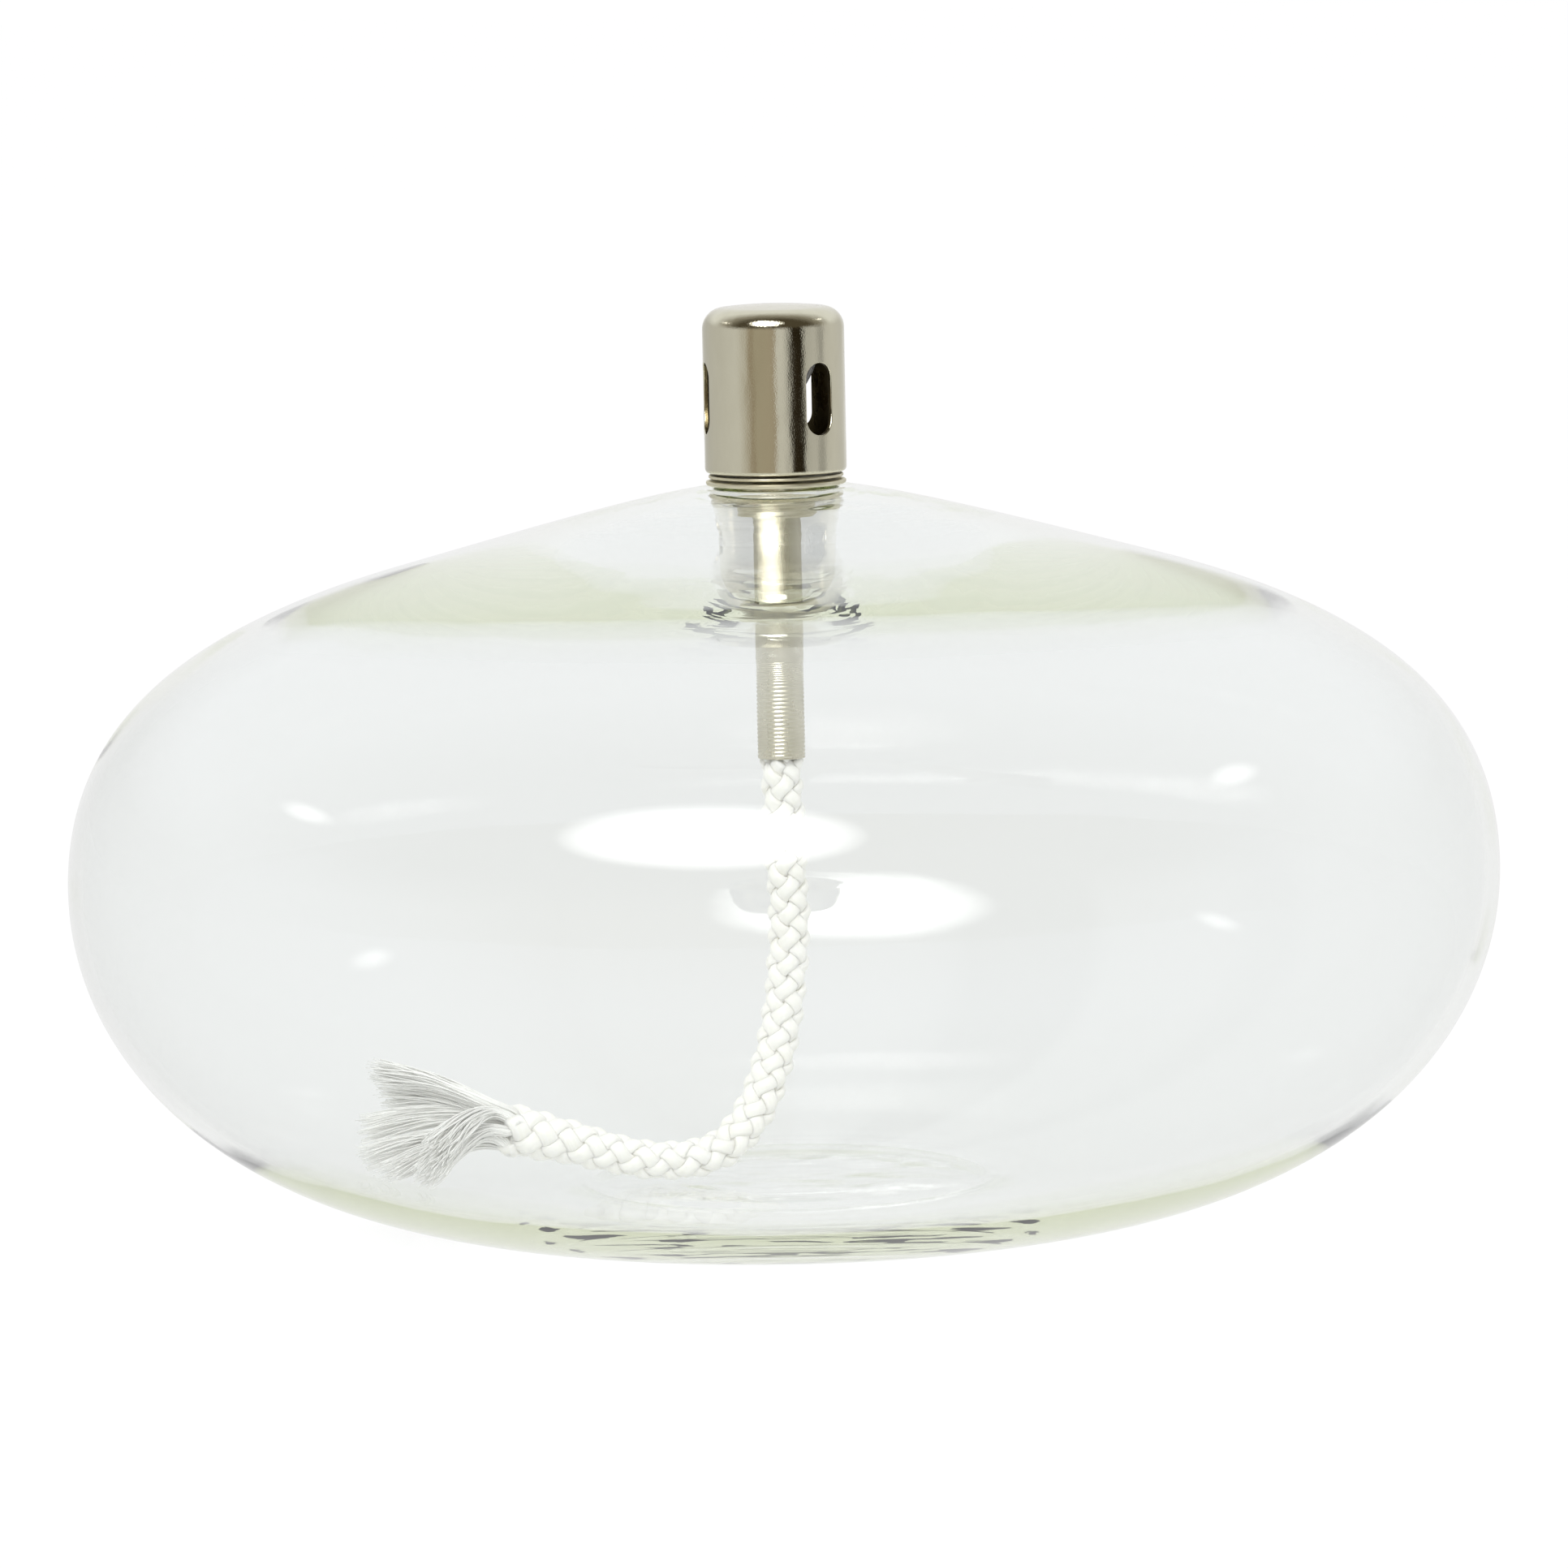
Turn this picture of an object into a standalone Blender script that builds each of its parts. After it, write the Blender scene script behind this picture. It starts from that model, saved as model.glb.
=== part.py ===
"""Oil lamp: a flattened blown-glass vessel with a loose burner in its mouth.

The burner is a threaded tube clamped between a collar and a lock nut, with a
flange that rests on a ring on the glass lip and a slotted hood over the wick.
A braided glass-fibre wick runs through the tube, hangs to the floor of the
vessel and lies along it to a frayed end.

Metres, +Z up. The origin is the centre of the base, on the vessel's axis.
"""

import math

import bmesh
import bpy
import numpy as np
from mathutils import Matrix, Vector

GAP = 0.0003                    # clearance between pieces that touch

# Vessel, outside
VESSEL_RADIUS = 0.090
WIDEST_Z = 0.0435
BASE_RADIUS = 0.031             # outer edge of the ring the vessel stands on
BASE_RING_WIDTH = 0.007
BASE_RECESS = 0.0008
SHOULDER_RADIUS = 0.0504        # where the shoulder straightens into a cone
SHOULDER_Z = 0.0819
SHOULDER_SLOPE = math.radians(15.8)
LIP_Z = 0.0923
LIP_OUTER_RADIUS = 0.0098
LIP_BORE_RADIUS = 0.0082

# Vessel, inside: the wall's thickness is measured square to the outside
BORE_RADIUS = 0.0078
NECK_WALL = 0.0032              # within NECK_WALL_RADIUS
NECK_WALL_RADIUS = 0.029
SHOULDER_WALL_RADIUS = 0.068    # the shoulder has thinned to SIDE_WALL here
SIDE_WALL = 0.0017
LOWER_WALL_RADIUS = 0.078       # below, it thickens from here
HEEL_WALL_RADIUS = 0.032
HEEL_WALL = 0.0028              # to this at the base ring
PUSHED_UP_RADIUS = 0.016
PUSHED_UP_Z = 0.0037            # top of the floor inside the base ring
FOOT_ROUNDING = 0.0012          # where the bore turns into the ceiling

# Burner
MOUTH_RING_RADIUS = 0.0088
MOUTH_RING_THICKNESS = 0.0006
FLANGE_RADIUS = 0.0085
FLANGE_THICKNESS = 0.0004
COLLAR_RADIUS = 0.0050
COLLAR_FOOT_Z = 0.0862
TUBE_RADIUS = 0.0030
TUBE_BORE_RADIUS = 0.00265
TUBE_FOOT_Z = 0.0589
TUBE_TOP_Z = 0.0993
NUT_ACROSS_FLATS = 0.0090
NUT_HEIGHT = 0.0022

# Hood
HOOD_RADIUS = 0.0089
HOOD_WALL = 0.0006
HOOD_TOP_Z = 0.1152
HOOD_CROWN = 0.00035
HOOD_CORNER_RADIUS = 0.0027
HOOD_RIM_TUCK = 0.0004
SLOT_COUNT = 3
SLOT_WIDTH = 0.0040
SLOT_LENGTH = 0.0090
SLOT_MIDDLE_Z = 0.1036
FIRST_SLOT_ANGLE = math.radians(-50.0)

# Wick
WICK_RADIUS = 0.0027
CORE_RADIUS = 0.0023            # where the tube squeezes it
YARN_COUNT = 8
TAIL_POINT_STEP = 0.0040
TAIL_ROUTE = (
    (0.0000, 0.0000, 0.0586),
    (0.0000, 0.0000, 0.0545),
    (0.0001, 0.0001, 0.0505),
    (0.0003, 0.0002, 0.0460),
    (0.0005, 0.0003, 0.0410),
    (0.0005, 0.0004, 0.0360),
    (0.0002, 0.0004, 0.0310),
    (-0.0004, 0.0001, 0.0262),
    (-0.0014, -0.0006, 0.0210),
    (-0.0029, -0.0018, 0.0160),
    (-0.0050, -0.0032, 0.0117),
    (-0.0082, -0.0046, 0.0083),
    (-0.0126, -0.0056, 0.0068),
    (-0.0174, -0.0063, 0.0069),
    (-0.0221, -0.0068, 0.0080),
    (-0.0268, -0.0072, 0.0094),
    (-0.0313, -0.0076, 0.0107),
    (-0.0352, -0.0079, 0.0118),
)
# Free ends of the tail's yarns, from the upper back round to the lower front
TAIL_YARN_ENDS = (
    (-0.0530, -0.0020, 0.0190),
    (-0.0520, 0.0010, 0.0150),
    (-0.0545, -0.0060, 0.0115),
    (-0.0540, -0.0120, 0.0086),
    (-0.0510, -0.0170, 0.0072),
    (-0.0465, -0.0190, 0.0066),
    (-0.0450, -0.0230, 0.0088),
    (-0.0440, -0.0240, 0.0120),
)

VESSEL_SEGMENTS = 64
HOOD_SEGMENTS = 48
SMALL_SEGMENTS = 32
CORE_SEGMENTS = 16
NUT_SEGMENTS = 36

MOUTH_RING_Z = LIP_Z + GAP
FLANGE_Z = MOUTH_RING_Z + MOUTH_RING_THICKNESS + GAP
HOOD_RIM_Z = FLANGE_Z + FLANGE_THICKNESS + GAP
NUT_Z = FLANGE_Z + FLANGE_THICKNESS + GAP


def clear_scene():
    for obj in list(bpy.data.objects):
        bpy.data.objects.remove(obj, do_unlink=True)


def principled(name, color, metallic, roughness, transmission=0.0):
    material = bpy.data.materials.new(name)
    material.use_nodes = True
    shader = material.node_tree.nodes["Principled BSDF"]
    shader.inputs["Base Color"].default_value = (*color, 1.0)
    shader.inputs["Metallic"].default_value = metallic
    shader.inputs["Roughness"].default_value = roughness
    shader.inputs["Transmission Weight"].default_value = transmission
    return material


def make_materials():
    return {
        "glass": principled("clear_glass", (0.93, 0.96, 0.94), 0.0, 0.02, 1.0),
        "nickel": principled("nickel_plate", (0.66, 0.62, 0.53), 1.0, 0.22),
        "steel": principled("nickel_thread", (0.58, 0.55, 0.48), 1.0, 0.32),
        "fibre": principled("glass_fibre", (0.90, 0.90, 0.84), 0.0, 0.55),
    }


def link_mesh(name, bm, material):
    bmesh.ops.recalc_face_normals(bm, faces=bm.faces)
    mesh = bpy.data.meshes.new(name)
    bm.to_mesh(mesh)
    bm.free()
    mesh.materials.append(material)
    mesh.shade_smooth()
    mesh.set_sharp_from_angle(angle=math.radians(35.0))
    obj = bpy.data.objects.new(name, mesh)
    bpy.context.collection.objects.link(obj)
    return obj


def cubic(start, start_handle, end_handle, end, steps):
    """Points of a cubic Bezier curve after its start, as (radius, height)."""
    points = []
    for step in range(1, steps + 1):
        t = step / steps
        weights = ((1 - t) ** 3, 3 * (1 - t) ** 2 * t, 3 * (1 - t) * t ** 2, t ** 3)
        corners = (start, start_handle, end_handle, end)
        radius = sum(w * c[0] for w, c in zip(weights, corners))
        height = sum(w * c[1] for w, c in zip(weights, corners))
        points.append((radius, height))
    return points


def arc(center, radius, start_angle, end_angle, steps):
    """Points of an arc in the (radius, height) plane, both ends included."""
    points = []
    for step in range(steps + 1):
        angle = start_angle + (end_angle - start_angle) * step / steps
        points.append((center[0] + radius * math.cos(angle), center[1] + radius * math.sin(angle)))
    return points


def turned(name, outline, segments, material, z=0.0):
    """A body of revolution about +Z from an outline of (radius, height) points.

    The outline is a closed loop, unless its ends lie on the axis.
    """
    bm = bmesh.new()
    verts = [bm.verts.new((radius, 0.0, height)) for radius, height in outline]
    on_axis = outline[0][0] == 0.0 and outline[-1][0] == 0.0
    pairs = list(zip(verts, verts[1:]))
    if not on_axis:
        pairs.append((verts[-1], verts[0]))
    edges = [bm.edges.new(pair) for pair in pairs]
    bmesh.ops.spin(
        bm, geom=verts + edges, cent=(0, 0, 0), axis=(0, 0, 1),
        angle=math.tau, steps=segments, use_merge=True,
    )
    bmesh.ops.remove_doubles(bm, verts=bm.verts, dist=1e-6)
    obj = link_mesh(name, bm, material)
    obj.location.z = z
    return obj


def polar(radius, slope):
    return radius * math.cos(slope), radius * math.sin(slope)


def vessel_outside():
    """Outer outline from the edge of the base ring up to the lip."""
    points = [(BASE_RADIUS, 0.0)]
    points += cubic(
        (BASE_RADIUS, 0.0),
        (BASE_RADIUS + 0.0392, 0.0007),
        (VESSEL_RADIUS, WIDEST_Z - 0.0217),
        (VESSEL_RADIUS, WIDEST_Z), 11,
    )
    along, down = polar(0.0256, SHOULDER_SLOPE)
    points += cubic(
        (VESSEL_RADIUS, WIDEST_Z),
        (VESSEL_RADIUS, WIDEST_Z + 0.0206),
        (SHOULDER_RADIUS + along, SHOULDER_Z - down),
        (SHOULDER_RADIUS, SHOULDER_Z), 10,
    )
    along, down = polar(0.022, SHOULDER_SLOPE)
    points += cubic(
        (SHOULDER_RADIUS, SHOULDER_Z),
        (SHOULDER_RADIUS - along, SHOULDER_Z + down),
        (LIP_OUTER_RADIUS + 0.009, LIP_Z - 0.0015),
        (LIP_OUTER_RADIUS, LIP_Z), 5,
    )
    return points


def eased(share):
    share = min(1.0, max(0.0, share))
    return share * share * (3 - 2 * share)


def wall_at(radius, height):
    """The glass is thick round the neck and at the base ring, and thin at the sides."""
    if height > WIDEST_Z:
        share = (SHOULDER_WALL_RADIUS - radius) / (SHOULDER_WALL_RADIUS - NECK_WALL_RADIUS)
        return SIDE_WALL + (NECK_WALL - SIDE_WALL) * eased(share)
    share = (LOWER_WALL_RADIUS - radius) / (LOWER_WALL_RADIUS - HEEL_WALL_RADIUS)
    return SIDE_WALL + (HEEL_WALL - SIDE_WALL) * eased(share)


def inner_skin(outside):
    """The outside moved inwards by the wall's thickness, in the same order."""
    points = np.array(outside)
    along = np.gradient(points, axis=0)
    along /= np.linalg.norm(along, axis=1, keepdims=True)
    inward = np.stack([-along[:, 1], along[:, 0]], axis=1)
    walls = np.array([wall_at(radius, height) for radius, height in outside])
    return [(float(r), float(z)) for r, z in points + inward * walls[:, None]]


def vessel_inside(outside):
    """Inner outline from the lip down the bore and round to the floor's centre."""
    skin = [point for point in inner_skin(outside) if point[0] > BORE_RADIUS + FOOT_ROUNDING]
    skin.reverse()
    ceiling = skin[0]
    heel = skin[-1]
    points = [(LIP_BORE_RADIUS, LIP_Z), (BORE_RADIUS, LIP_Z - 0.0006)]
    points += cubic(
        (BORE_RADIUS, ceiling[1] + FOOT_ROUNDING),
        (BORE_RADIUS, ceiling[1] + FOOT_ROUNDING / 3),
        (BORE_RADIUS + 0.0003, ceiling[1] + 0.0001),
        ceiling, 3,
    )
    points += skin[1:]
    points += cubic(
        heel,
        (heel[0] - 0.006, heel[1]),
        (PUSHED_UP_RADIUS + 0.008, PUSHED_UP_Z),
        (PUSHED_UP_RADIUS, PUSHED_UP_Z), 4,
    )
    points.append((0.0, PUSHED_UP_Z))
    return points


def vessel_base():
    """Underside from the centre of the shallow recess out to the base ring."""
    recess_radius = BASE_RADIUS - BASE_RING_WIDTH
    points = [(0.0, BASE_RECESS)]
    points += cubic(
        (0.0, BASE_RECESS),
        (recess_radius * 0.6, BASE_RECESS),
        (recess_radius * 0.9, BASE_RECESS),
        (recess_radius, 0.0), 3,
    )
    return points


def build_vessel(materials):
    outside = vessel_outside()
    outline = vessel_base() + outside + vessel_inside(outside)
    return turned("glass_vessel", outline, VESSEL_SEGMENTS, materials["glass"])


def ring_outline(inner_radius, outer_radius, height, edge):
    """A flat ring whose outer corners are eased by a small 45 degree edge."""
    return [
        (inner_radius, 0.0),
        (outer_radius - edge, 0.0),
        (outer_radius, edge),
        (outer_radius, height - edge),
        (outer_radius - edge, height),
        (inner_radius, height),
    ]


def build_mouth_ring(materials):
    outline = ring_outline(
        COLLAR_RADIUS + GAP, MOUTH_RING_RADIUS, MOUTH_RING_THICKNESS, 0.00015)
    return turned("mouth_ring", outline, SMALL_SEGMENTS, materials["nickel"], MOUTH_RING_Z)


def build_flange(materials):
    outline = ring_outline(
        TUBE_RADIUS + GAP, FLANGE_RADIUS, FLANGE_THICKNESS, 0.0001)
    return turned("burner_flange", outline, SMALL_SEGMENTS, materials["nickel"], FLANGE_Z)


def build_collar(materials):
    height = FLANGE_Z - GAP - COLLAR_FOOT_Z
    outline = ring_outline(TUBE_RADIUS + GAP, COLLAR_RADIUS, height, 0.0003)
    return turned("clamp_collar", outline, SMALL_SEGMENTS, materials["nickel"], COLLAR_FOOT_Z)


def build_tube(materials):
    height = TUBE_TOP_Z - TUBE_FOOT_Z
    outline = ring_outline(TUBE_BORE_RADIUS, TUBE_RADIUS, height, 0.00015)
    return turned("wick_tube", outline, SMALL_SEGMENTS, materials["steel"], TUBE_FOOT_Z)


def build_lock_nut(materials):
    """A thin hexagonal nut: a hexagon's flats follow 1 / cos of the angle off each flat."""
    bm = bmesh.new()
    sides = 6
    hole_radius = TUBE_RADIUS + GAP
    rings = {}
    for level in (0.0, NUT_HEIGHT):
        inner = []
        outer = []
        for index in range(NUT_SEGMENTS):
            angle = math.tau * index / NUT_SEGMENTS
            off_flat = (angle + math.pi / sides) % (math.tau / sides) - math.pi / sides
            reach = NUT_ACROSS_FLATS / 2 / math.cos(off_flat)
            outward = Vector((math.cos(angle), math.sin(angle), 0.0))
            lift = Vector((0.0, 0.0, level))
            inner.append(bm.verts.new(outward * hole_radius + lift))
            outer.append(bm.verts.new(outward * reach + lift))
        rings[level] = (inner, outer)
    low_inner, low_outer = rings[0.0]
    top_inner, top_outer = rings[NUT_HEIGHT]
    loops = (low_inner, low_outer, top_outer, top_inner)
    for first, second in zip(loops, loops[1:] + loops[:1]):
        for index in range(NUT_SEGMENTS):
            following = (index + 1) % NUT_SEGMENTS
            bm.faces.new((first[index], first[following], second[following], second[index]))
    nut = link_mesh("lock_nut", bm, materials["steel"])
    nut.location.z = NUT_Z
    return nut


def hood_skin(radius, top_z, corner_radius, crown, rim_radius, rim_z):
    """One skin of the hood, from its rim up and over to the axis."""
    side_top = top_z - crown - corner_radius
    points = [(rim_radius, rim_z), (radius, rim_z + 0.0006)]
    points += arc((radius - corner_radius, side_top), corner_radius, 0.0, math.radians(84.0), 5)
    points.append((radius * 0.35, top_z - crown * 0.12))
    points.append((0.0, top_z))
    return points


def slot_cutter(index):
    """A bar with round ends that cuts one slot through the hood's wall."""
    bm = bmesh.new()
    end_radius = SLOT_WIDTH / 2
    end_offset = SLOT_LENGTH / 2 - end_radius
    outline = arc((0.0, end_offset), end_radius, 0.0, math.pi, 8)
    outline += arc((0.0, -end_offset), end_radius, math.pi, math.tau, 8)
    near, far = HOOD_RADIUS * 0.6, HOOD_RADIUS * 1.3
    verts = [bm.verts.new((near, across, height)) for across, height in outline]
    face = bm.faces.new(verts)
    extruded = bmesh.ops.extrude_face_region(bm, geom=[face])
    moved = [item for item in extruded["geom"] if isinstance(item, bmesh.types.BMVert)]
    bmesh.ops.translate(bm, verts=moved, vec=(far - near, 0.0, 0.0))
    bmesh.ops.recalc_face_normals(bm, faces=bm.faces)
    mesh = bpy.data.meshes.new(f"slot_cutter_{index}")
    bm.to_mesh(mesh)
    bm.free()
    cutter = bpy.data.objects.new(mesh.name, mesh)
    bpy.context.collection.objects.link(cutter)
    cutter.hide_render = True
    cutter.display_type = "WIRE"
    cutter.location.z = SLOT_MIDDLE_Z
    cutter.rotation_euler.z = FIRST_SLOT_ANGLE + math.tau * index / SLOT_COUNT
    return cutter


def build_hood(materials):
    outside = hood_skin(
        HOOD_RADIUS, HOOD_TOP_Z - HOOD_RIM_Z, HOOD_CORNER_RADIUS, HOOD_CROWN,
        HOOD_RADIUS - HOOD_RIM_TUCK, 0.0)
    inside = hood_skin(
        HOOD_RADIUS - HOOD_WALL, HOOD_TOP_Z - HOOD_RIM_Z - HOOD_WALL,
        HOOD_CORNER_RADIUS - HOOD_WALL, HOOD_CROWN,
        HOOD_RADIUS - HOOD_RIM_TUCK - HOOD_WALL, 0.0)
    outline = outside[::-1] + inside
    hood = turned("burner_hood", outline, HOOD_SEGMENTS, materials["nickel"], HOOD_RIM_Z)
    for index in range(SLOT_COUNT):
        cut = hood.modifiers.new(f"slot_{index}", "BOOLEAN")
        cut.operation = "DIFFERENCE"
        cut.solver = "EXACT"
        cut.object = slot_cutter(index)
    return hood


def smooth_points(route, step):
    """Points about one step apart along a smooth curve through the route's points."""
    ends = [2 * route[0] - route[1], *route, 2 * route[-1] - route[-2]]
    points = [route[0]]
    for before, start, end, after in zip(ends, ends[1:], ends[2:], ends[3:]):
        pieces = max(1, round((end - start).length / step))
        for piece in range(1, pieces + 1):
            t = piece / pieces
            point = (
                2 * start
                + (end - before) * t
                + (2 * before - 5 * start + 4 * end - after) * t ** 2
                + (3 * start - before - 3 * end + after) * t ** 3
            ) / 2
            points.append(point)
    return points


def round_strand(name, points, radii, sides_detail, material):
    """A closed tube along points, with its own radius at each of them."""
    curve = bpy.data.curves.new(name, "CURVE")
    curve.dimensions = "3D"
    curve.bevel_depth = 1.0
    curve.bevel_resolution = sides_detail
    curve.use_fill_caps = True
    spline = curve.splines.new("POLY")
    spline.points.add(len(points) - 1)
    for spline_point, point, radius in zip(spline.points, points, radii):
        spline_point.co = (*point, 1.0)
        spline_point.radius = radius
    curve.materials.append(material)
    strand = bpy.data.objects.new(name, curve)
    bpy.context.collection.objects.link(strand)
    return strand


def build_wick_core(materials):
    top_z = TUBE_TOP_Z - TUBE_FOOT_Z
    outline = [(0.0, 0.0), (CORE_RADIUS, 0.0), (CORE_RADIUS, top_z), (0.0, top_z)]
    return turned("wick_core", outline, CORE_SEGMENTS, materials["fibre"], TUBE_FOOT_Z)


def build_wick_tail(materials):
    points = smooth_points([Vector(point) for point in TAIL_ROUTE], TAIL_POINT_STEP)
    radii = [WICK_RADIUS] * len(points)
    return round_strand("wick_tail", points, radii, 3, materials["fibre"])


def build_tip_yarns(materials):
    """The wick's upper end fans out above the tube like a small funnel."""
    centre_radii = (0.00150, 0.00185, 0.00280, 0.00390, 0.00490)
    heights = (0.0000, 0.0020, 0.0045, 0.0070, 0.0096)
    yarn_radii = (0.00040, 0.00055, 0.00090, 0.00125, 0.00140)
    yarns = []
    for index in range(YARN_COUNT):
        turn = Matrix.Rotation(math.tau * (index + 0.5) / YARN_COUNT, 3, "Z")
        points = []
        for reach, height in zip(centre_radii, heights):
            points.append(turn @ Vector((reach, 0.0, TUBE_TOP_Z + GAP + height)))
        name = f"wick_tip_yarn_{index + 1}"
        yarns.append(round_strand(name, points, yarn_radii, 1, materials["fibre"]))
    return yarns


def build_tail_yarns(materials):
    """The yarns of the frayed end, from a ring in the braid's end to their free ends."""
    tail_end = Vector(TAIL_ROUTE[-1])
    along = (tail_end - Vector(TAIL_ROUTE[-2])).normalized()
    side = along.cross(Vector((0.0, 0.0, 1.0))).normalized()
    upward = side.cross(along).normalized()
    root_ring = WICK_RADIUS - 0.0008
    root_angles = (90.0, 40.0, 0.0, -40.0, -90.0, -140.0, 180.0, 140.0)
    yarns = []
    for index, (angle, end) in enumerate(zip(root_angles, TAIL_YARN_ENDS)):
        around = math.radians(angle)
        offset = side * math.cos(around) * root_ring + upward * math.sin(around) * root_ring
        root = tail_end + along * GAP * 1.5 + offset
        spread = root + along * 0.005 + offset * 0.9
        tip = Vector(end)
        middle = (spread + tip) / 2 + Vector((0.0, 0.0, 0.0006))
        points = smooth_points([root, spread, middle, tip], 0.0026)
        last = len(points) - 1
        radii = [0.00050 + 0.00035 * math.sin(math.pi * place / last) for place in range(last + 1)]
        name = f"wick_tail_yarn_{index + 1}"
        yarns.append(round_strand(name, points, radii, 1, materials["fibre"]))
    return yarns


def group(name, height, members):
    """An empty on the vessel's axis that carries the pieces that move together."""
    empty = bpy.data.objects.new(name, None)
    bpy.context.collection.objects.link(empty)
    empty.location.z = height
    bpy.context.view_layer.update()
    for member in members:
        member.parent = empty
        member.matrix_parent_inverse = empty.matrix_world.inverted()
    return empty


def main():
    clear_scene()
    materials = make_materials()
    build_vessel(materials)
    build_mouth_ring(materials)
    burner = [
        build_flange(materials),
        build_collar(materials),
        build_tube(materials),
        build_lock_nut(materials),
    ]
    wick = [build_wick_core(materials), build_wick_tail(materials)]
    wick += build_tip_yarns(materials)
    wick += build_tail_yarns(materials)
    hood = build_hood(materials)
    wick_axis = group("wick_axis", TUBE_FOOT_Z, wick)
    hood_axis = group("hood_axis", HOOD_RIM_Z, [hood])
    group("burner_axis", LIP_Z, burner + [wick_axis, hood_axis])


main()
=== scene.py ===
import math
import random

import bmesh
import bpy
import numpy as np
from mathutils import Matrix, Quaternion, Vector


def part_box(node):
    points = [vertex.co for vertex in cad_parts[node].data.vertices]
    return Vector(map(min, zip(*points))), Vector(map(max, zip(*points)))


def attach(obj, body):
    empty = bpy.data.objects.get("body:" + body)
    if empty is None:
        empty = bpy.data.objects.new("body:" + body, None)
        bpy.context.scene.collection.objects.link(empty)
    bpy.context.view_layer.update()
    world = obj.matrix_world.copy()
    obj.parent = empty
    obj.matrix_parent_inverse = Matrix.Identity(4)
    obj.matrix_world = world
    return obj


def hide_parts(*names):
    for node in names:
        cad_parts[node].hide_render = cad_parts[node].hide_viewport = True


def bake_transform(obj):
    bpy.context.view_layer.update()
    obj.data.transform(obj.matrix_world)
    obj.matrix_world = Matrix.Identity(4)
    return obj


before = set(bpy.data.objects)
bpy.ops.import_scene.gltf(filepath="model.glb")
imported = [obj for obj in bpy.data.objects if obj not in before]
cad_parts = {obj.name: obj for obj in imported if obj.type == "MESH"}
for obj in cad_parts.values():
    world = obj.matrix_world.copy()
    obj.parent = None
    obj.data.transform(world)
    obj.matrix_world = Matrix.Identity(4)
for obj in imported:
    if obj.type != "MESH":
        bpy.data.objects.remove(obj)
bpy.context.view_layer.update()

# ---------------------------------------------------------------- dimensions, metres, as in the CAD

VESSEL_RADIUS = 0.090
WIDEST_Z = 0.0435
BASE_RADIUS = 0.031
BASE_RING_WIDTH = 0.007
BASE_RECESS = 0.0008
SHOULDER_RADIUS = 0.0504
SHOULDER_Z = 0.0819
SHOULDER_SLOPE = math.radians(15.8)
LIP_Z = 0.0923
LIP_OUTER_RADIUS = 0.0098
LIP_BORE_RADIUS = 0.0082
BORE_RADIUS = 0.0078
NECK_WALL = 0.0032
NECK_WALL_RADIUS = 0.029
SHOULDER_WALL_RADIUS = 0.068
SIDE_WALL = 0.0017
LOWER_WALL_RADIUS = 0.078
HEEL_WALL_RADIUS = 0.032
HEEL_WALL = 0.0028
PUSHED_UP_RADIUS = 0.016
PUSHED_UP_Z = 0.0037
FOOT_ROUNDING = 0.0012

COLLAR_RADIUS = 0.0050
TUBE_RADIUS = 0.0030
TUBE_BORE_RADIUS = 0.00265
NUT_ACROSS_FLATS = 0.0090
HOOD_RADIUS = 0.0089
HOOD_WALL = 0.0006
HOOD_CROWN = 0.00035
HOOD_CORNER_RADIUS = 0.0027
HOOD_RIM_TUCK = 0.0004
SLOT_WIDTH = 0.0040
SLOT_LENGTH = 0.0090
SLOT_MIDDLE_Z = 0.1036
SLOT_COUNT = 3
FIRST_SLOT_ANGLE = math.radians(-50.0)

WICK_RADIUS = 0.0027
YARN_COUNT = 8
TAIL_ROUTE = (
    (0.0000, 0.0000, 0.0586),
    (0.0000, 0.0000, 0.0545),
    (0.0001, 0.0001, 0.0505),
    (0.0003, 0.0002, 0.0460),
    (0.0005, 0.0003, 0.0410),
    (0.0005, 0.0004, 0.0360),
    (0.0002, 0.0004, 0.0310),
    (-0.0004, 0.0001, 0.0262),
    (-0.0014, -0.0006, 0.0210),
    (-0.0029, -0.0018, 0.0160),
    (-0.0050, -0.0032, 0.0117),
    (-0.0082, -0.0046, 0.0083),
    (-0.0126, -0.0056, 0.0068),
    (-0.0174, -0.0063, 0.0069),
    (-0.0221, -0.0068, 0.0080),
    (-0.0268, -0.0072, 0.0094),
    (-0.0313, -0.0076, 0.0107),
    (-0.0352, -0.0079, 0.0118),
)
TAIL_YARN_ENDS = (
    (-0.0530, -0.0020, 0.0190),
    (-0.0520, 0.0010, 0.0150),
    (-0.0545, -0.0060, 0.0115),
    (-0.0540, -0.0120, 0.0086),
    (-0.0510, -0.0170, 0.0072),
    (-0.0465, -0.0190, 0.0066),
    (-0.0450, -0.0230, 0.0088),
    (-0.0440, -0.0240, 0.0120),
)


# ---------------------------------------------------------------- camera

CAMERA_DISTANCE = 1.0637
CAMERA_ELEVATION = math.radians(7.2)
ORBIT_Z = 0.0452
AIM = (0.00023, 0.0, 0.05467)
LENS_MM = 193.7
CAMERA_ROLL = math.radians(1.15)


def make_camera():
    data = bpy.data.cameras.new("camera")
    data.sensor_width = 36.0
    data.lens = LENS_MM
    data.clip_start = 0.01
    data.clip_end = 60.0
    camera = bpy.data.objects.new("camera", data)
    bpy.context.scene.collection.objects.link(camera)
    back = CAMERA_DISTANCE * math.cos(CAMERA_ELEVATION)
    rise = CAMERA_DISTANCE * math.sin(CAMERA_ELEVATION)
    camera.location = (AIM[0], -back, ORBIT_Z + rise)
    look = Vector(AIM) - camera.location
    camera.rotation_mode = "QUATERNION"
    camera.rotation_quaternion = look.to_track_quat("-Z", "Y") @ Quaternion((0, 0, 1), -CAMERA_ROLL)
    bpy.context.scene.camera = camera


make_camera()


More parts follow.
